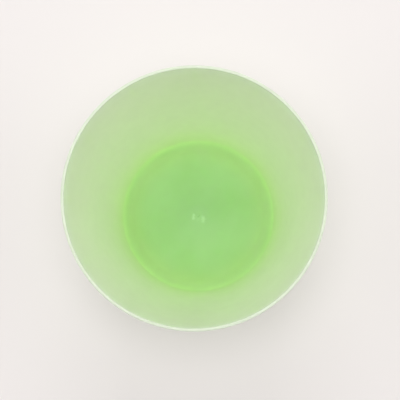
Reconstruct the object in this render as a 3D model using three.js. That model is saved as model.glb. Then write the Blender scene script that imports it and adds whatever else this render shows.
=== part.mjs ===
// Florist bucket: a tapered, open-topped water bucket, injection moulded in one shot of
// translucent polypropylene. It has no lid, handle or moving part.
//
// The moulding's members are separate solids that meet face to face, so each can be named,
// weighed and given its own finish: the base panel, the gate boss on it, the rounded heel that
// turns up from the base, the foot ring that carries the wall's line down to the floor, the
// tapered side wall, the lip round the mouth, and the stacking ribs under the lip.
//
// Millimetres, +Z up. The origin is the centre of the bottom, on the surface it stands on.

import * as THREE from 'three';

// Driving dimensions
const HEIGHT = 280;
const MOUTH_DIAMETER = 260; // inside, at the top
const BASE_DIAMETER = 192; // inside, where the wall's line meets the base
const WALL_THICKNESS = 1.6;
const BASE_THICKNESS = 2.2;
const BASE_CROWN = 1; // the middle of the base stands this much higher than its edge
const BASE_HEIGHT = 4; // from the floor to the underside of the base
const INNER_HEEL_RADIUS = 16; // inside, between base and wall
const UNDER_HEEL_RADIUS = 16.5; // underneath, between base and foot ring
const BASE_PANEL_RADIUS = 78; // where the base panel stops and the heel begins

const FOOT_THICKNESS = 2.4;
const FOOT_CHAMFER = 0.4;

const LIP_HEIGHT = 5;
const LIP_WIDTH = 3.4; // from the inside of the wall to the outside of the lip
const LIP_ROUND = 1; // radius on the lip's top and outer edges

const GATE_SEAT_RADIUS = 9.5; // flat spot in the middle of the base
const GATE_BOSS_RADIUS = 7.5;
const GATE_BOSS_HEIGHT = 0.9;
const GATE_NUB_RADIUS = 1.6; // where the sprue was cut off
const GATE_NUB_HEIGHT = 0.6;

const STACKING_RIB_COUNT = 12;
const STACKING_RIB_HEIGHT = 32;
const STACKING_RIB_THICKNESS = 1.6;
const STACKING_RIB_INSET = 1; // the ribs' outer edges stand this far inside the lip's
const CLEARANCE = 0.3; // between a stacking rib and the solids it is moulded to

const SEGMENTS = 72; // round a full turn; a multiple of the number of stacking ribs
const ARC_STEPS = 5; // along each heel arc
const EDGE_STEPS = 3; // along each rounded edge of the lip

// Heights and radii worked out from them
const baseTop = BASE_HEIGHT + BASE_THICKNESS;
const lipBottom = HEIGHT - LIP_HEIGHT;
const mouthRadius = MOUTH_DIAMETER / 2;
const lipRadius = mouthRadius + LIP_WIDTH;
const draft = Math.atan((MOUTH_DIAMETER - BASE_DIAMETER) / 2 / (HEIGHT - baseTop));

// Radius of the wall's inner line at a height.
function innerRadius(height) {
  return mouthRadius - (HEIGHT - height) * Math.tan(draft);
}

// Radius of the wall's outer line at a height.
function outerRadius(height) {
  return innerRadius(height) + WALL_THICKNESS / Math.cos(draft);
}

// Points on an arc, from one angle to the other, both ends included.
function arc(centreRadius, centreHeight, radius, from, to, steps) {
  return Array.from({ length: steps + 1 }, (_, step) => {
    const angle = from + ((to - from) * step) / steps;
    return [centreRadius + radius * Math.cos(angle), centreHeight + radius * Math.sin(angle)];
  });
}

// Radius of the centre of the round corner between a level line and a line of the wall's
// slope that meets it at lineRadius: the centre is the corner's radius away from both.
function heelCentre(lineRadius, radius) {
  return lineRadius - (radius * (1 - Math.sin(draft))) / Math.cos(draft);
}

// Inside, the heel turns from the base's top all the way up to the wall's line.
const innerHeelCentre = heelCentre(innerRadius(baseTop), INNER_HEEL_RADIUS);
const innerHeelLevel = baseTop + INNER_HEEL_RADIUS;
const heelTop = innerHeelLevel - INNER_HEEL_RADIUS * Math.sin(draft);

// Underneath, the heel has the same turn until it meets the foot ring's inner face, which is
// the line radius = footInside + height * tan(draft). Put into the arc's formula, that gives
// the cosine of the angle plus the draft.
const underHeelCentre = heelCentre(outerRadius(BASE_HEIGHT), UNDER_HEEL_RADIUS);
const underHeelLevel = BASE_HEIGHT + UNDER_HEEL_RADIUS;
const footInside = outerRadius(0) - FOOT_THICKNESS;

function angleAtFootRing() {
  const run = footInside + underHeelLevel * Math.tan(draft) - underHeelCentre;
  return -draft - Math.acos((run / UNDER_HEEL_RADIUS) * Math.cos(draft));
}

const underHeelEnd = angleAtFootRing();
const footTop = underHeelLevel + UNDER_HEEL_RADIUS * Math.sin(underHeelEnd);

// A solid of revolution about Z. The outline is a list of [radius, height] points that runs
// anticlockwise, and it starts and ends on the axis or comes back to its first point.
function revolve(outline) {
  const points = outline.map(([radius, height]) => new THREE.Vector2(radius, height));
  return new THREE.LatheGeometry(points, SEGMENTS).rotateX(Math.PI / 2);
}

// A ring of revolution, from an outline that doesn't repeat its first point.
function revolveRing(outline) {
  return revolve([...outline, outline[0]]);
}

// The base panel: a disc of even thickness that rises to a small flat in the middle.
function basePanel() {
  return revolve([
    [0, BASE_HEIGHT + BASE_CROWN],
    [GATE_SEAT_RADIUS, BASE_HEIGHT + BASE_CROWN],
    [BASE_PANEL_RADIUS, BASE_HEIGHT],
    [BASE_PANEL_RADIUS, baseTop],
    [GATE_SEAT_RADIUS, baseTop + BASE_CROWN],
    [0, baseTop + BASE_CROWN],
  ]);
}

// The gate boss: a low round boss with sloping sides, and the stub of the sprue on it.
function gateBoss() {
  const seat = baseTop + BASE_CROWN;
  const top = seat + GATE_BOSS_HEIGHT;
  return revolve([
    [0, seat],
    [GATE_BOSS_RADIUS, seat],
    [GATE_BOSS_RADIUS - GATE_BOSS_HEIGHT, top],
    [GATE_NUB_RADIUS, top],
    [GATE_NUB_RADIUS, top + GATE_NUB_HEIGHT],
    [0, top + GATE_NUB_HEIGHT],
  ]);
}

// The foot ring: a skirt on the wall's own line, down to the floor, with a chamfered sole.
function footRing() {
  return revolveRing([
    [footInside + FOOT_CHAMFER, 0],
    [outerRadius(0) - FOOT_CHAMFER, 0],
    [outerRadius(FOOT_CHAMFER), FOOT_CHAMFER],
    [outerRadius(footTop), footTop],
    [footInside + footTop * Math.tan(draft), footTop],
    [footInside + FOOT_CHAMFER * Math.tan(draft), FOOT_CHAMFER],
  ]);
}

// The heel: the rounded corner between the base panel and the side wall.
function heelRing() {
  const inner = innerHeelCentre;
  const under = underHeelCentre;
  return revolveRing([
    [BASE_PANEL_RADIUS, BASE_HEIGHT],
    ...arc(under, underHeelLevel, UNDER_HEEL_RADIUS, -Math.PI / 2, underHeelEnd, ARC_STEPS),
    [outerRadius(footTop), footTop],
    [outerRadius(heelTop), heelTop],
    ...arc(inner, innerHeelLevel, INNER_HEEL_RADIUS, -draft, -Math.PI / 2, ARC_STEPS),
    [BASE_PANEL_RADIUS, baseTop],
  ]);
}

// The side wall: a cone of even thickness, from the heel up to the lip.
function sideWall() {
  return revolveRing([
    [innerRadius(heelTop), heelTop],
    [outerRadius(heelTop), heelTop],
    [outerRadius(lipBottom), lipBottom],
    [innerRadius(lipBottom), lipBottom],
  ]);
}

// The lip: a bead that stands out from the wall, flat on top and rounded at its edges.
function rimLip() {
  const outside = lipRadius - LIP_ROUND;
  const inside = mouthRadius + LIP_ROUND;
  const top = HEIGHT - LIP_ROUND;
  return revolveRing([
    [innerRadius(lipBottom), lipBottom],
    ...arc(outside, lipBottom + LIP_ROUND, LIP_ROUND, -Math.PI / 2, 0, EDGE_STEPS),
    ...arc(outside, top, LIP_ROUND, 0, Math.PI / 2, EDGE_STEPS),
    ...arc(inside, top, LIP_ROUND, Math.PI / 2, Math.PI, EDGE_STEPS),
  ]);
}

// A stacking rib: an upright blade under the lip with a plumb outer edge. The wall slopes
// away behind it, so its lower end is a ledge that rests on the lip of the bucket below.
function stackingRib() {
  const top = lipBottom - CLEARANCE;
  const bottom = lipBottom - STACKING_RIB_HEIGHT;
  const outside = lipRadius - STACKING_RIB_INSET;
  const side = new THREE.Shape([
    new THREE.Vector2(outerRadius(bottom) + CLEARANCE, bottom),
    new THREE.Vector2(outside, bottom),
    new THREE.Vector2(outside, top),
    new THREE.Vector2(outerRadius(top) + CLEARANCE, top),
  ]);
  return new THREE.ExtrudeGeometry(side, { depth: STACKING_RIB_THICKNESS, bevelEnabled: false })
    .translate(0, 0, -STACKING_RIB_THICKNESS / 2)
    .rotateX(Math.PI / 2);
}

// One shot of the same plastic: the thinner a member is, the paler it looks.
function moulding(name, color) {
  return new THREE.MeshStandardMaterial({ name, color, roughness: 0.35, metalness: 0 });
}

const basePlastic = moulding('base_plastic', 0x9fd97e);
const wallPlastic = moulding('wall_plastic', 0xbddba2);
const lipPlastic = moulding('lip_plastic', 0xdfebcf);

const bucket = new THREE.Group();

function addMember(name, geometry, material, turn = 0) {
  const mesh = new THREE.Mesh(geometry, material);
  mesh.name = name;
  mesh.rotation.z = turn;
  bucket.add(mesh);
}

addMember('base_panel', basePanel(), basePlastic);
addMember('gate_boss', gateBoss(), basePlastic);
addMember('foot_ring', footRing(), basePlastic);
addMember('heel_ring', heelRing(), basePlastic);
addMember('side_wall', sideWall(), wallPlastic);
addMember('rim_lip', rimLip(), lipPlastic);
for (let index = 0; index < STACKING_RIB_COUNT; index += 1) {
  const number = String(index + 1).padStart(2, '0');
  const turn = (2 * Math.PI * index) / STACKING_RIB_COUNT;
  addMember(`stacking_rib_${number}`, stackingRib(), wallPlastic, turn);
}

export default bucket;
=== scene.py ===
"""Florist bucket in translucent light green polypropylene, on a pale studio floor.

The bucket is one injection moulding, so one seamless surface stands for all its members: the
base panel, gate boss, heel ring, foot ring, side wall, lip and stacking ribs. It is a surface
of revolution about Z, whose outside also carries the ribs. Lengths are metres.
"""

import math

import bpy
import numpy as np
from mathutils import Matrix, Vector


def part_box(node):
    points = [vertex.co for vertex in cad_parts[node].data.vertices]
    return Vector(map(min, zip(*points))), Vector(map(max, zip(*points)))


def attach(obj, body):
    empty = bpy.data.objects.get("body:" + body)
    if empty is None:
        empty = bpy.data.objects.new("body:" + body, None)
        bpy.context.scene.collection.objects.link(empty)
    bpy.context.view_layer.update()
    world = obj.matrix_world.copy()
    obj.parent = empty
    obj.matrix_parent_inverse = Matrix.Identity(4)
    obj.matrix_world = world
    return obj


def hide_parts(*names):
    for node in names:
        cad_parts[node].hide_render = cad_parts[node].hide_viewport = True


MM = 0.001

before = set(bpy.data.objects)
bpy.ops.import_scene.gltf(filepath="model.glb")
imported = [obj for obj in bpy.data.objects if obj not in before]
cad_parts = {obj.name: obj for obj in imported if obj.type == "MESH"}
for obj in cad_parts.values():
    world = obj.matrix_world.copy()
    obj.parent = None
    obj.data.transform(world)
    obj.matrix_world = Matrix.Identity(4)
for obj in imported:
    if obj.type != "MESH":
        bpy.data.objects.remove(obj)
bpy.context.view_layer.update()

# ---------------------------------------------------------------- sizes from the frame

LIP_LOW, LIP_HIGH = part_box("rim_lip")
BASE_LOW, BASE_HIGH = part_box("base_panel")
FOOT_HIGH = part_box("foot_ring")[1]
BOSS_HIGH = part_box("gate_boss")[1]
RIB_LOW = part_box("stacking_rib_07")[0]  # this rib is at -X, so its outer edge is here

HEIGHT = LIP_HIGH.z
LIP_RADIUS = LIP_HIGH.x
LIP_BOTTOM = LIP_LOW.z
BASE_HEIGHT = BASE_LOW.z
FOOT_TOP = FOOT_HIGH.z
RIB_COUNT = sum(name.startswith("stacking_rib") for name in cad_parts)

# Sizes that the members' boxes don't give
LIP_WIDTH = 3.4 * MM
LIP_ROUND = 1 * MM
WALL_THICKNESS = 1.6 * MM
BASE_THICKNESS = 2.2 * MM
BASE_RADIUS = 96 * MM  # inside, where the wall's line meets the base
INNER_HEEL_RADIUS = 16 * MM  # inside, between base and wall
UNDER_HEEL_RADIUS = 16.5 * MM  # underneath, between base and foot ring
FOOT_THICKNESS = 2.4 * MM
FOOT_ROUND = 0.4 * MM
RIB_SIDE = (0.65 * MM, 1.05 * MM)  # a stacking rib's side falls between these, off its middle
RIB_END = (-0.1 * MM, 0.4 * MM)  # its lower end rises between these, above the CAD's
DOME_INSIDE = BOSS_HIGH.x * 1.1  # the base's dome stops at this radius, just outside the boss
BOSS_SIDE_RUN = 4.6 * MM  # how far in the gate boss's side reaches
BOSS_SIDE_RISE = 0.6 * MM

BASE_TOP = BASE_HEIGHT + BASE_THICKNESS
BASE_CROWN = BASE_HIGH.z - BASE_TOP
MOUTH_RADIUS = LIP_RADIUS - LIP_WIDTH
DRAFT = math.atan((MOUTH_RADIUS - BASE_RADIUS) / (HEIGHT - BASE_TOP))


def inner_radius(height):
    """Radius of the wall's inner line at a height."""
    return MOUTH_RADIUS - (HEIGHT - height) * math.tan(DRAFT)


def outer_radius(height):
    """Radius of the wall's outer line at a height."""
    return inner_radius(height) + WALL_THICKNESS / math.cos(DRAFT)


# ---------------------------------------------------------------- the outline


def line(start, end, steps):
    """Points from start up to, but not including, end, evenly spaced."""
    share = np.arange(steps)[:, None] / steps
    return np.array(start) + (np.array(end) - np.array(start)) * share


def arc(centre, radius, start, end, steps):
    """Points on an arc from one angle to another, both ends included."""
    angle = np.linspace(start, end, steps + 1)
    return np.array(centre) + radius * np.stack([np.cos(angle), np.sin(angle)], 1)


def smooth_step(value, low, high):
    """0 below low, 1 above high, and a smooth S between them."""
    share = np.clip((value - low) / (high - low), 0, 1)
    return share * share * (3 - 2 * share)


def heel_centre(line_radius, radius):
    """Radius of the centre of the round corner between a level line and a line of the wall's
    slope: the centre is the corner's radius away from both."""
    return line_radius - radius * (1 - math.sin(DRAFT)) / math.cos(DRAFT)


def crowned(inside, outside, low, rise, steps):
    """A shallow dome's section from radius inside to outside: low at the outside, and higher
    towards the axis by rise times one minus the square of the radius's share."""
    radius = np.linspace(inside, outside, steps + 1)
    return np.stack([radius, low + rise * (1 - (radius / outside) ** 2)], 1)


def underside():
    """From the axis out over the crowned base and up round the heel, to the angle at which
    the heel's arc is as high as the foot ring's top."""
    centre = heel_centre(outer_radius(BASE_HEIGHT), UNDER_HEEL_RADIUS)
    level = BASE_HEIGHT + UNDER_HEEL_RADIUS
    end = -math.asin((level - FOOT_TOP) / UNDER_HEEL_RADIUS)
    flat = crowned(0, centre, BASE_HEIGHT, BASE_CROWN, 12)[:-1]
    turn = arc((centre, level), UNDER_HEEL_RADIUS, -math.pi / 2, end, 8)
    return np.concatenate([flat, turn])


def foot():
    """Down the foot ring's inner face, across its sole and round its outer edge."""
    r = FOOT_ROUND
    outside = outer_radius(0)
    inside = outside - FOOT_THICKNESS
    lean = math.tan(DRAFT)
    down = line((inside + (FOOT_TOP - r) * lean, FOOT_TOP - r), (inside + r * lean, r), 5)
    quarter = math.pi / 2
    return np.concatenate(
        [
            down,
            arc((inside + r, r), r, -2 * quarter, -quarter, 3),
            line((inside + r, 0), (outside - r, 0), 3)[1:],
            arc((outside - r, r), r, -quarter, 0, 3),
        ]
    )


def outer_wall_heights():
    """Rows up the outside wall, close together round the stacking ribs' lower ends."""
    below = np.linspace(3 * MM, RIB_LOW.z - 2 * MM, 30)
    ledge = RIB_LOW.z + np.array([-1.2, -0.5, -0.2, 0, 0.15, 0.3, 0.5, 0.8, 1.4, 2.4]) * MM
    above = np.linspace(RIB_LOW.z + 4 * MM, LIP_BOTTOM - 0.6 * MM, 12)
    return np.concatenate([below, ledge, above])


def outer_wall():
    """Up the outside of the foot ring and the wall, to the lip."""
    heights = outer_wall_heights()
    return np.stack([outer_radius(heights), heights], 1)


def lip():
    """Out under the lip, up its outer face, over the top and down into the mouth."""
    r = LIP_ROUND
    outside, inside, top = LIP_RADIUS - r, MOUTH_RADIUS + r, HEIGHT - r
    quarter = math.pi / 2
    return np.concatenate(
        [
            [(outer_radius(LIP_BOTTOM) + 0.2 * MM, LIP_BOTTOM)],
            arc((outside, LIP_BOTTOM + r), r, -quarter, 0, 5),
            arc((outside, top), r, 0, quarter, 6),
            line((outside, HEIGHT), (inside, HEIGHT), 3)[1:],
            arc((inside, top), r, quarter, 2 * quarter - DRAFT, 6),
        ]
    )


def inner_wall():
    """Down the inside of the wall, from the lip to the heel."""
    heights = np.linspace(HEIGHT - 4 * MM, BASE_TOP + INNER_HEEL_RADIUS + 2 * MM, 40)
    return np.stack([inner_radius(heights), heights], 1)


def inner_heel():
    """From the wall's inner line round on to the base."""
    centre = heel_centre(inner_radius(BASE_TOP), INNER_HEEL_RADIUS)
    middle = (centre, BASE_TOP + INNER_HEEL_RADIUS)
    return arc(middle, INNER_HEEL_RADIUS, -DRAFT, -math.pi / 2, 16)


def gate_boss():
    """In over the gate boss to the axis. Its side rises in a smooth S to a narrow flat, and the
    stub of the sprue stands on that, with a rounded edge and a slightly hollow top."""
    seat = BASE_TOP + BASE_CROWN
    top = BOSS_HIGH.z
    side = np.linspace(BOSS_HIGH.x, BOSS_HIGH.x - BOSS_SIDE_RUN, 15)
    rise = smooth_step(-side, -BOSS_HIGH.x, -side[-1]) * BOSS_SIDE_RISE
    stub = [
        (2.2 * MM, seat + 0.6 * MM),
        (1.7 * MM, seat + 0.66 * MM),
        (1.4 * MM, seat + 0.9 * MM),
        (1.2 * MM, top - 0.2 * MM),
        (0.9 * MM, top),
        (0.4 * MM, top - 0.05 * MM),
        (0, top - 0.1 * MM),
    ]
    return np.concatenate([np.stack([side, seat + rise], 1), stub])


def base_top():
    """In over the base, from the heel to the gate boss."""
    edge = heel_centre(inner_radius(BASE_TOP), INNER_HEEL_RADIUS)
    return crowned(DOME_INSIDE, edge, BASE_TOP, BASE_CROWN, 40)[-2::-1]


def moulding_outline():
    """The whole section, from the axis underneath round to the axis inside."""
    return np.concatenate(
        [
            underside(),
            foot(),
            outer_wall(),
            lip(),
            inner_wall(),
            inner_heel(),
            base_top(),
            gate_boss(),
        ]
    )


# ---------------------------------------------------------------- the moulding


def rib_angles():
    """Angles round the bucket: evenly spaced, and close together across each stacking rib."""
    pitch = 2 * math.pi / RIB_COUNT
    across = np.radians([0, 0.2, 0.3, 0.36, 0.42, 0.52, 0.7, 1.1])
    across = np.concatenate([-across[:0:-1], across])
    gap = np.linspace(across[-1], pitch + across[0], 16)[1:-1]
    one = np.concatenate([across, gap])
    return (one + pitch * np.arange(RIB_COUNT)[:, None]).ravel()


def rib_radius(radius, height, angle):
    """The outside's radius with the stacking ribs on it. A rib is a blade whose outer edge is
    plumb: at its place round the bucket and between its ends, the radius grows to that edge."""
    pitch = 2 * math.pi / RIB_COUNT
    off_centre = np.abs((angle + pitch / 2) % pitch - pitch / 2) * radius
    blade = 1 - smooth_step(off_centre, *RIB_SIDE)
    above_end = smooth_step(height - RIB_LOW.z, *RIB_END)
    edge = -RIB_LOW.x
    return radius + (edge - radius) * blade * above_end


def revolved(name, outline, on_outside):
    """A closed surface of revolution: point (r, z) of the outline, turned by angle a, is at
    (r cos a, r sin a, z). The outline's two ends are on the axis and become single points.
    Where on_outside is true, the radius is the one with the ribs."""
    angle = rib_angles()
    rows, columns = len(outline) - 2, len(angle)
    radius = np.repeat(outline[1:-1, :1], columns, 1)
    height = np.repeat(outline[1:-1, 1:], columns, 1)
    turn = np.repeat(angle[None, :], rows, 0)
    ribbed = rib_radius(radius, height, turn)
    radius = np.where(on_outside[1:-1, None], ribbed, radius)
    grid = np.stack([radius * np.cos(turn), radius * np.sin(turn), height], 2).reshape(-1, 3)
    ends = np.array([[0, 0, outline[0, 1]], [0, 0, outline[-1, 1]]])
    points = np.concatenate([grid, ends])
    row, column = np.meshgrid(np.arange(rows - 1), np.arange(columns), indexing="ij")
    beside = (column + 1) % columns
    quads = np.stack(
        [
            row * columns + column,
            row * columns + beside,
            (row + 1) * columns + beside,
            (row + 1) * columns + column,
        ],
        2,
    ).reshape(-1, 4)
    around = np.arange(columns)
    beside = (around + 1) % columns
    start, end = len(grid), len(grid) + 1
    first = np.stack([np.full(columns, start), beside, around], 1)
    last_row = (rows - 1) * columns
    last = np.stack([np.full(columns, end), last_row + around, last_row + beside], 1)
    mesh = bpy.data.meshes.new(name)
    mesh.from_pydata(points.tolist(), [], quads.tolist() + first.tolist() + last.tolist())
    mesh.update()
    mesh.shade_smooth()
    mesh.set_sharp_from_angle(angle=math.radians(50))
    piece = bpy.data.objects.new(name, mesh)
    bpy.context.scene.collection.objects.link(piece)
    return piece


def bucket_moulding():
    """The whole moulding, one closed solid."""
    outline = moulding_outline()
    radius, height = outline.T
    on_outside = (height > RIB_LOW.z - 5 * MM) & (height < LIP_BOTTOM)
    on_outside &= radius > (inner_radius(height) + outer_radius(height)) / 2
    return revolved("bucket_moulding", outline, on_outside)


# ---------------------------------------------------------------- the plastic

# Dye by distance from the gate, in a straight line. The melt fills the mould from there, and
# the base, which is thicker and filled first, is deeper in colour than the wall. The list holds
# painted light and shade too: the base's deep green is partly painted shade, for the dim light
# at the bottom of the cup, and the band from the heel up the lower wall, about 93 to 165 mm out,
# is paler: painted light that evens out the shade in the corner between base and wall.
TONE_AND_PAINTED_LIGHT_BY_DISTANCE = [
    (7 * MM, (0.38, 0.60, 0.29)),
    (18 * MM, (0.35, 0.575, 0.25)),
    (52 * MM, (0.37, 0.62, 0.245)),
    (70 * MM, (0.405, 0.65, 0.27)),
    (84 * MM, (0.47, 0.70, 0.275)),
    (93 * MM, (0.54, 0.80, 0.345)),
    (102 * MM, (0.70, 0.995, 0.49)),
    (125 * MM, (0.77, 0.99, 0.59)),
    (165 * MM, (0.785, 0.97, 0.62)),
    (292 * MM, (0.765, 0.93, 0.60)),
    (310 * MM, (0.84, 0.99, 0.75)),
]
LIP_DYE = (0.60, 0.665, 0.53)

# A pale green, for the painted highlights beside the gate and for the random clouds on the base.
PALE_TONE_AND_HIGHLIGHT = (0.58, 0.80, 0.50, 1)
RIB_DYE = (0.68, 0.90, 0.51, 1)  # the plastic is thickest at a stacking rib's edge

# Two painted highlights beside the gate, on the gate boss's sides, where the left and right
# softboxes would glint: the middle of each, how far it reaches, and how much longer than wide it
# is.
GATE_PAINTED_HIGHLIGHTS = [
    ((-6.3 * MM, -1.2 * MM, 7.2 * MM), 2.8 * MM, 2.3),
    ((6.5 * MM, -4.6 * MM, 7.2 * MM), 3.9 * MM, 1.7),
]
PAINTED_HIGHLIGHT_STRENGTH = 0.5
PAINTED_HIGHLIGHT_CORE = 0.2  # the share of its reach over which a fleck is at full strength
PAINTED_HIGHLIGHT_CELLS_PER_METRE = 420.0  # of the noise that makes its edge uneven
PAINTED_HIGHLIGHT_UNEVENNESS = 0.7 * MM

MOST_NOISE = (0.3, 0.7)  # noise runs from 0 to 1, but most of it lies in here
CLOUDS_PER_METRE = 17.0
CLOUD_STRENGTH = 0.14
STREAKS_PER_RADIAN = 9.0
STREAK_RUN = 6.0  # a metre up the wall counts as this many radians round it
STREAK_STRENGTH = 0.02

# The mould's marks: how many to a metre, and how deep they are, in metres
GRAINS_PER_METRE = 2500.0
GRAIN_DEPTH = 8e-6
RINGS_PER_METRE = 900.0
RING_DEPTH = 22e-6
POLISH_PER_RADIAN = 120.0
POLISH_RUN = 3.0  # as with the streaks
POLISH_DEPTH = 30e-6

SATIN = (0.33, 0.43)  # the wall's roughness, from its glossier patches to its duller ones
PATCHES_PER_METRE = 28.0
SCUFFS_PER_METRE = 260.0
SCUFF = 0.25  # how much rougher a scuff is
BASE_FADE = (8 * MM, 50 * MM)  # the heights between which the base's finish becomes the wall's
BASE_DULLNESS = 0.15
BASE_GLOSS = 0.15
WALL_GLOSS = 0.5
REFRACTIVE_INDEX = 1.49
SCATTER_REACH = 6 * MM  # how far light spreads inside the plastic


def add(tree, kind, **settings):
    """A new node of a kind, with its settings."""
    node = tree.nodes.new("ShaderNode" + kind)
    for name, value in settings.items():
        setattr(node, name, value)
    return node


def join(tree, source, target):
    """Feeds a socket into another; a number or colour is set on the target itself."""
    if isinstance(source, bpy.types.NodeSocket):
        tree.links.new(source, target)
    else:
        target.default_value = source


def maths(tree, operation, first, second=0.0):
    """One step of arithmetic on two numbers."""
    node = add(tree, "Math", operation=operation)
    join(tree, first, node.inputs[0])
    join(tree, second, node.inputs[1])
    return node.outputs[0]


def between(tree, value, low, high, start=0.0, end=1.0):
    """start where the value is below low, end where it is above high, and a smooth S between."""
    node = add(tree, "MapRange", interpolation_type="SMOOTHSTEP")
    for socket, number in zip(node.inputs[1:5], (low, high, start, end)):
        socket.default_value = number
    join(tree, value, node.inputs[0])
    return node.outputs[0]


def noise(tree, vector, scale, detail=3.0):
    """Smooth noise from 0 to 1, with scale cells to a metre or to a unit of the vector."""
    node = add(tree, "TexNoise")
    node.inputs["Scale"].default_value = scale
    node.inputs["Detail"].default_value = detail
    tree.links.new(vector, node.inputs["Vector"])
    return node.outputs[0]


def blend(tree, share, first, second, mode="MIX"):
    """Mixes two colours by a mode. In the plain one, the first shows where share is 0 and the
    second where it is 1."""
    node = add(tree, "Mix", data_type="RGBA", blend_type=mode)
    join(tree, share, node.inputs[0])
    join(tree, first, node.inputs[6])
    join(tree, second, node.inputs[7])
    return node.outputs[2]


def cylinder_place(tree):
    """The place on the bucket, as its position, its distance from the axis, its height, and
    the direction it lies in from the axis, as a vector one unit long."""
    position = add(tree, "TexCoord").outputs["Object"]
    parts = add(tree, "SeparateXYZ")
    tree.links.new(position, parts.inputs[0])
    level = add(tree, "CombineXYZ")
    tree.links.new(parts.outputs["X"], level.inputs["X"])
    tree.links.new(parts.outputs["Y"], level.inputs["Y"])
    radius = add(tree, "VectorMath", operation="LENGTH")
    tree.links.new(level.outputs[0], radius.inputs[0])
    direction = add(tree, "VectorMath", operation="NORMALIZE")
    tree.links.new(level.outputs[0], direction.inputs[0])
    return position, radius.outputs["Value"], parts.outputs["Z"], direction.outputs[0]


def along(tree, direction, run):
    """A vector that changes by one for each radian round the bucket, and by the run up it.
    With a run that is slow enough, noise on it is longer up the wall than across it."""
    parts = add(tree, "SeparateXYZ")
    tree.links.new(direction, parts.inputs[0])
    vector = add(tree, "CombineXYZ")
    tree.links.new(parts.outputs["X"], vector.inputs["X"])
    tree.links.new(parts.outputs["Y"], vector.inputs["Y"])
    tree.links.new(run, vector.inputs["Z"])
    return vector.outputs[0]


def only(tree, run):
    """A vector that changes with one number alone, for rings."""
    vector = add(tree, "CombineXYZ")
    tree.links.new(run, vector.inputs["X"])
    return vector.outputs[0]


def painted_highlight(tree, position, middle, reach, length):
    """A painted highlight's full strength in its middle, down to 0 at its edge. The distance from
    the middle counts length times less along Y, and noise makes the edge uneven."""
    offset = add(tree, "VectorMath", operation="SUBTRACT")
    tree.links.new(position, offset.inputs[0])
    offset.inputs[1].default_value = middle
    squeezed = add(tree, "VectorMath", operation="MULTIPLY")
    tree.links.new(offset.outputs[0], squeezed.inputs[0])
    squeezed.inputs[1].default_value = (1.0, 1 / length, 1.0)
    distance = add(tree, "VectorMath", operation="LENGTH")
    tree.links.new(squeezed.outputs[0], distance.inputs[0])
    uneven = noise(tree, position, PAINTED_HIGHLIGHT_CELLS_PER_METRE, 2.0)
    uneven = between(tree, uneven, *MOST_NOISE, -PAINTED_HIGHLIGHT_UNEVENNESS, PAINTED_HIGHLIGHT_UNEVENNESS)
    edge = maths(tree, "ADD", distance.outputs["Value"], uneven)
    return between(tree, edge, PAINTED_HIGHLIGHT_CORE * reach, reach, PAINTED_HIGHLIGHT_STRENGTH, 0.0)


def on_ribs(tree, radius, height):
    """1 on the stacking ribs and 0 elsewhere: they are what stands out, below the lip, past the
    wall's outer line, whose radius grows with the height by the tangent of the draft."""
    wall = maths(tree, "MULTIPLY", height, math.tan(DRAFT))
    wall = maths(tree, "ADD", wall, outer_radius(0))
    past = between(tree, maths(tree, "SUBTRACT", radius, wall), 0.3 * MM, 1.8 * MM)
    below_lip = between(tree, height, LIP_BOTTOM - 1 * MM, LIP_BOTTOM, 1.0, 0.0)
    return maths(tree, "MULTIPLY", past, below_lip)


def tone_and_painted_light_by_distance(tree, position):
    """The dye by distance from the gate, with painted shade on the base and painted light round
    the heel: a smooth curve that follows the values of its list.
    """
    distance = add(tree, "VectorMath", operation="LENGTH")
    tree.links.new(position, distance.inputs[0])
    reach = TONE_AND_PAINTED_LIGHT_BY_DISTANCE[-1][0]
    ramp = add(tree, "ValToRGB")
    elements = ramp.color_ramp.elements
    ramp.color_ramp.interpolation = "B_SPLINE"
    while len(elements) < len(TONE_AND_PAINTED_LIGHT_BY_DISTANCE):
        elements.new(0.5)
    for element, (place, colour) in zip(elements, TONE_AND_PAINTED_LIGHT_BY_DISTANCE):
        element.position = place / reach
        element.color = (*colour, 1)
    tree.links.new(maths(tree, "DIVIDE", distance.outputs["Value"], reach), ramp.inputs[0])
    return ramp.outputs["Color"]


def dye_and_painted_light(tree, position, radius, height, streaks):
    """The dye by distance from the gate, with its painted shade on the base and painted light
    round the heel, a paler lip, deeper stacking ribs, two painted highlights beside the gate,
    pale clouds on the base, and faint flow streaks on the wall, a little longer than they are
    wide."""
    on_lip = between(tree, height, HEIGHT - 2.2 * MM, HEIGHT - 0.4 * MM)
    # The dye by distance carries painted shade on the base and painted light round the heel.
    colour = blend(tree, on_lip, tone_and_painted_light_by_distance(tree, position), (*LIP_DYE, 1))
    colour = blend(tree, on_ribs(tree, radius, height), colour, RIB_DYE)
    # Painted highlights beside the gate, where the softboxes would glint on the gate boss.
    for middle, reach, length in GATE_PAINTED_HIGHLIGHTS:
        colour = blend(tree, painted_highlight(tree, position, middle, reach, length), colour, PALE_TONE_AND_HIGHLIGHT)
    on_wall = between(tree, height, 10 * MM, 40 * MM)
    clouds = noise(tree, position, CLOUDS_PER_METRE, 2.0)
    clouds = between(tree, clouds, 0.35, 0.7, 0.0, CLOUD_STRENGTH)
    clouds = maths(tree, "MULTIPLY", clouds, maths(tree, "SUBTRACT", 1.0, on_wall))
    colour = blend(tree, clouds, colour, PALE_TONE_AND_HIGHLIGHT)
    darker = between(tree, streaks, *MOST_NOISE, STREAK_STRENGTH, 0.0)
    streaked = maths(tree, "SUBTRACT", 1.0, maths(tree, "MULTIPLY", darker, on_wall))
    grey = add(tree, "CombineColor")
    for socket in grey.inputs[:3]:
        tree.links.new(streaked, socket)
    return blend(tree, 1.0, colour, grey.outputs[0], "MULTIPLY")


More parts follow.
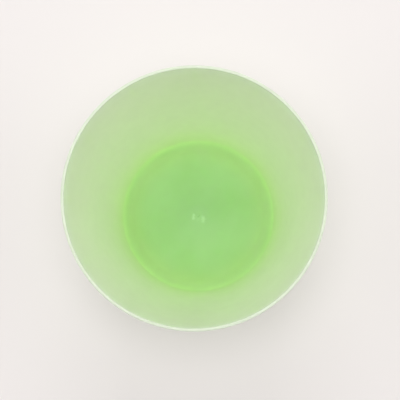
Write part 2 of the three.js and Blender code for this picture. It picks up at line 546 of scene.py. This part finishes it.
def relief(tree, position, radius, height, direction):
    """The height of the mould's marks: a satin grain everywhere, turning marks in rings on the
    base that fade outwards, and lengthwise polishing marks on the wall."""
    grain = noise(tree, position, GRAINS_PER_METRE, 2.0)
    grain = maths(tree, "MULTIPLY", grain, GRAIN_DEPTH)
    near_gate = between(tree, radius, 40 * MM, 60 * MM, 1.0, 0.35)
    on_base = between(tree, height, 9 * MM, 16 * MM, 1.0, 0.0)
    on_base = maths(tree, "MULTIPLY", near_gate, on_base)
    rings = noise(tree, only(tree, radius), RINGS_PER_METRE, 4.0)
    rings = maths(tree, "MULTIPLY", maths(tree, "MULTIPLY", rings, on_base), RING_DEPTH)
    on_wall = between(tree, height, 25 * MM, 60 * MM)
    polish = along(tree, direction, maths(tree, "MULTIPLY", height, POLISH_RUN))
    polish = noise(tree, polish, POLISH_PER_RADIAN, 4.0)
    polish = maths(tree, "MULTIPLY", maths(tree, "MULTIPLY", polish, on_wall), POLISH_DEPTH)
    return maths(tree, "ADD", maths(tree, "ADD", grain, rings), polish)


def roughness(tree, position, height):
    """Satin in soft patches, duller on the base, and scuffed on the lip's top and the foot's
    sole."""
    patches = noise(tree, position, PATCHES_PER_METRE, 4.0)
    patches = between(tree, patches, *MOST_NOISE, *SATIN)
    rubbed = maths(
        tree,
        "MAXIMUM",
        between(tree, height, HEIGHT - 1.2 * MM, HEIGHT - 0.2 * MM),
        between(tree, height, 0.3 * MM, 1.2 * MM, 1.0, 0.0),
    )
    scuffs = between(tree, noise(tree, position, SCUFFS_PER_METRE, 5.0), 0.42, 0.62)
    rubbed = maths(tree, "MULTIPLY", maths(tree, "MULTIPLY", rubbed, scuffs), SCUFF)
    dull = between(tree, height, *BASE_FADE, BASE_DULLNESS, 0.0)
    return maths(tree, "ADD", maths(tree, "ADD", patches, rubbed), dull)


def plastic():
    """Translucent green polypropylene: the dye with its painted light, shade and highlights, the
    mould's marks and the satin together. The base is duller and has less gloss than the wall."""
    material = bpy.data.materials.new("green_polypropylene")
    material.use_nodes = True
    tree = material.node_tree
    shader = tree.nodes["Principled BSDF"]
    position, radius, height, direction = cylinder_place(tree)

    streaks = along(tree, direction, maths(tree, "MULTIPLY", height, STREAK_RUN))
    streaks = noise(tree, streaks, STREAKS_PER_RADIAN)
    # The base colour carries painted shade on the base, painted light round the heel and painted
    # highlights beside the gate.
    colour = dye_and_painted_light(tree, position, radius, height, streaks)
    tree.links.new(colour, shader.inputs["Base Color"])

    bump = add(tree, "Bump")
    bump.inputs["Strength"].default_value = 1.0
    bump.inputs["Distance"].default_value = 1.0
    tree.links.new(relief(tree, position, radius, height, direction), bump.inputs["Height"])
    tree.links.new(bump.outputs[0], shader.inputs["Normal"])

    tree.links.new(roughness(tree, position, height), shader.inputs["Roughness"])
    gloss = between(tree, height, *BASE_FADE, BASE_GLOSS, WALL_GLOSS)
    tree.links.new(gloss, shader.inputs["Specular IOR Level"])
    shader.inputs["IOR"].default_value = REFRACTIVE_INDEX
    shader.inputs["Subsurface Weight"].default_value = 1.0
    shader.inputs["Subsurface Radius"].default_value = (1.0, 1.0, 1.0)
    shader.inputs["Subsurface Scale"].default_value = SCATTER_REACH
    return material


# ---------------------------------------------------------------- floor, light and camera

FLOOR_COLOUR = (0.755, 0.717, 0.712, 1)
FLOOR_REACH = 12.0
DAYLIGHT = (1.0, 0.985, 0.965, 1)
WALL_LIGHT = 0.80  # the studio's walls, low down
CEILING_LIGHT = 0.34
FRONT_SHARE = 0.6  # how much of that light is left towards -Y
SUN_STRENGTH = 1.83
SUN_LEAN = 1.8  # degrees towards -Y
SOFTBOX_POWER = 4.2
LIGHT_AIM = (0, 0, 0.15)

CAMERA_LEAN = math.radians(5.45)  # off the bucket's axis
CAMERA_TURN = math.radians(-13.1)  # round the axis, from -Y
CAMERA_DISTANCE = 0.87  # from the middle of the mouth
AIM_RIGHT = 6.1 * MM  # off the middle of the mouth
AIM_DOWN = 3.4 * MM
LENS = 78.6  # millimetres, like the sensor's width
SENSOR_WIDTH = 36


def studio_floor():
    """A wide plain floor at the bucket's foot."""
    mesh = bpy.data.meshes.new("studio_floor")
    reach = FLOOR_REACH
    corners = [(-reach, -reach, 0), (reach, -reach, 0), (reach, reach, 0), (-reach, reach, 0)]
    mesh.from_pydata(corners, [], [(0, 1, 2, 3)])
    floor = bpy.data.objects.new("studio_floor", mesh)
    bpy.context.scene.collection.objects.link(floor)
    material = bpy.data.materials.new("floor_paper")
    material.use_nodes = True
    shader = material.node_tree.nodes["Principled BSDF"]
    shader.inputs["Base Color"].default_value = FLOOR_COLOUR
    shader.inputs["Roughness"].default_value = 0.9
    shader.inputs["Specular IOR Level"].default_value = 0.1
    mesh.materials.append(material)


def softbox(name, place, aim, size, power):
    """A square area light that faces a point."""
    light = bpy.data.lights.new(name, "AREA")
    light.shape = "SQUARE"
    light.size = size
    light.energy = power
    lamp = bpy.data.objects.new(name, light)
    lamp.location = place
    lamp.rotation_euler = (Vector(aim) - Vector(place)).to_track_quat("-Z", "Y").to_euler()
    bpy.context.scene.collection.objects.link(lamp)


def studio_surroundings():
    """Pale walls all round, brightest low down, under a dimmer ceiling: the light's strength
    falls in a smooth S with the height of the direction that it comes from. It also falls in a
    smooth S towards -Y, the side that the camera leans to."""
    world = bpy.data.worlds.new("studio_surroundings")
    bpy.context.scene.world = world
    world.use_nodes = True
    tree = world.node_tree
    background = tree.nodes["Background"]
    background.inputs["Color"].default_value = DAYLIGHT
    direction = add(tree, "SeparateXYZ")
    tree.links.new(add(tree, "TexCoord").outputs["Generated"], direction.inputs[0])
    strength = between(tree, direction.outputs["Z"], 0.03, 0.3, WALL_LIGHT, CEILING_LIGHT)
    front = between(tree, direction.outputs["Y"], -0.9, -0.1, FRONT_SHARE, 1.0)
    tree.links.new(maths(tree, "MULTIPLY", strength, front), background.inputs["Strength"])


def overhead_light(power, lean):
    """An even soft light from above, as wide as a large diffuser. It comes from a number of
    degrees off the upright, towards -Y."""
    light = bpy.data.lights.new("overhead_light", "SUN")
    light.energy = power
    light.angle = math.radians(35)
    lamp = bpy.data.objects.new("overhead_light", light)
    lamp.rotation_euler.x = math.radians(lean)
    bpy.context.scene.collection.objects.link(lamp)


def studio_light():
    """Soft light from above and all round, with a softbox on each side and one behind."""
    studio_surroundings()
    overhead_light(SUN_STRENGTH, SUN_LEAN)
    softbox("left_softbox", (-1.5, 0, 1.3), LIGHT_AIM, 1.0, SOFTBOX_POWER)
    softbox("right_softbox", (1.5, 0, 1.3), LIGHT_AIM, 1.0, SOFTBOX_POWER)
    softbox("back_softbox", (0, 0.85, 1.25), LIGHT_AIM, 0.6, SOFTBOX_POWER)


def studio_camera():
    """Almost straight above the bucket, leaning a little towards -Y."""
    mouth = Vector((0, 0, HEIGHT))
    sideways = math.sin(CAMERA_LEAN)
    back = Vector(
        (
            sideways * -math.sin(CAMERA_TURN),
            -sideways * math.cos(CAMERA_TURN),
            math.cos(CAMERA_LEAN),
        )
    )
    data = bpy.data.cameras.new("studio_camera")
    data.lens = LENS
    data.sensor_width = SENSOR_WIDTH
    camera = bpy.data.objects.new("studio_camera", data)
    bpy.context.scene.collection.objects.link(camera)
    place = mouth + back * CAMERA_DISTANCE
    forward = -back
    right = forward.cross(Vector((0, 1, 0))).normalized()
    up = right.cross(forward)
    # The mouth stands a little left of and above the middle of the view
    aim = mouth + right * AIM_RIGHT - up * AIM_DOWN
    forward = (aim - place).normalized()
    right = forward.cross(Vector((0, 1, 0))).normalized()
    up = right.cross(forward)
    turned = Matrix((right, up, -forward)).transposed().to_4x4()
    camera.matrix_world = Matrix.Translation(place) @ turned
    bpy.context.scene.camera = camera


# ---------------------------------------------------------------- putting it together

studio_camera()
studio_light()
studio_floor()
bpy.context.scene.view_settings.view_transform = "Standard"

moulding = bucket_moulding()
moulding.data.materials.append(plastic())
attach(moulding, "root")
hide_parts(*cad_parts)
